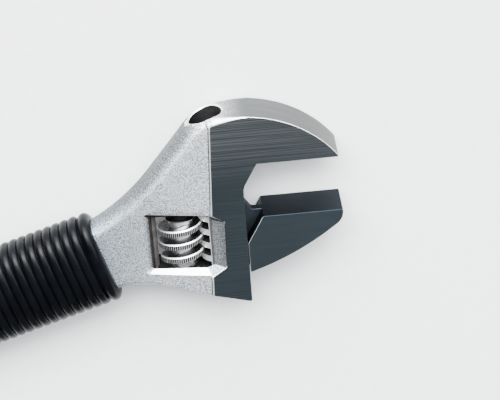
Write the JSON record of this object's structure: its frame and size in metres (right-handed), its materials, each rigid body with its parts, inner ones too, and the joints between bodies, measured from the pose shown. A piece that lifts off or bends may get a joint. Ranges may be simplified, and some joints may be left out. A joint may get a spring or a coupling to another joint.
{
  "type": "adjustable wrench",
  "caption": "Open-ended adjustable wrench: fixed jaw on a forged body, movable jaw driven by a knurled worm, ribbed grip sleeve with a hanging hole.",
  "frame": {"origin": "centre of the fixed jaw's gripping face, at mid-thickness", "axes": "+X along the jaw faces towards the tips, +Y the way the movable jaw closes, +Z out of the front face"},
  "size_m": [0.1957, 0.0902, 0.0174],
  "materials": {
    "forged_steel": "blasted satin casting with ground faces",
    "ground_steel": "fine ground",
    "polished_steel": "turned and knurled",
    "pin_steel": "turned",
    "grip_rubber": "moulded, half gloss"
  },
  "bodies": {
    "frame": {"wrench_body": "forged_steel", "worm_pin": "pin_steel", "worm_spring": "pin_steel", "grip_sleeve": "grip_rubber"},
    "jaw": {"movable_jaw": "ground_steel"},
    "worm": {"worm": "polished_steel"}
  },
  "joints": [
    {"name": "jaw_slide", "type": "slide", "parent": "frame", "child": "jaw", "axis": [0, 1, 0], "range_m": [-0.0094, 0.0164]},
    {"name": "worm_spin", "type": "hinge", "parent": "frame", "child": "worm", "pos_m": [-0.0341, -0.023, 0], "axis": [0, 1, 0], "range_deg": [-1440, 830]}
  ],
  "couplings": [
    {"joint": "worm_spin", "follows": "jaw_slide", "rad_per_m": -1514}
  ]
}
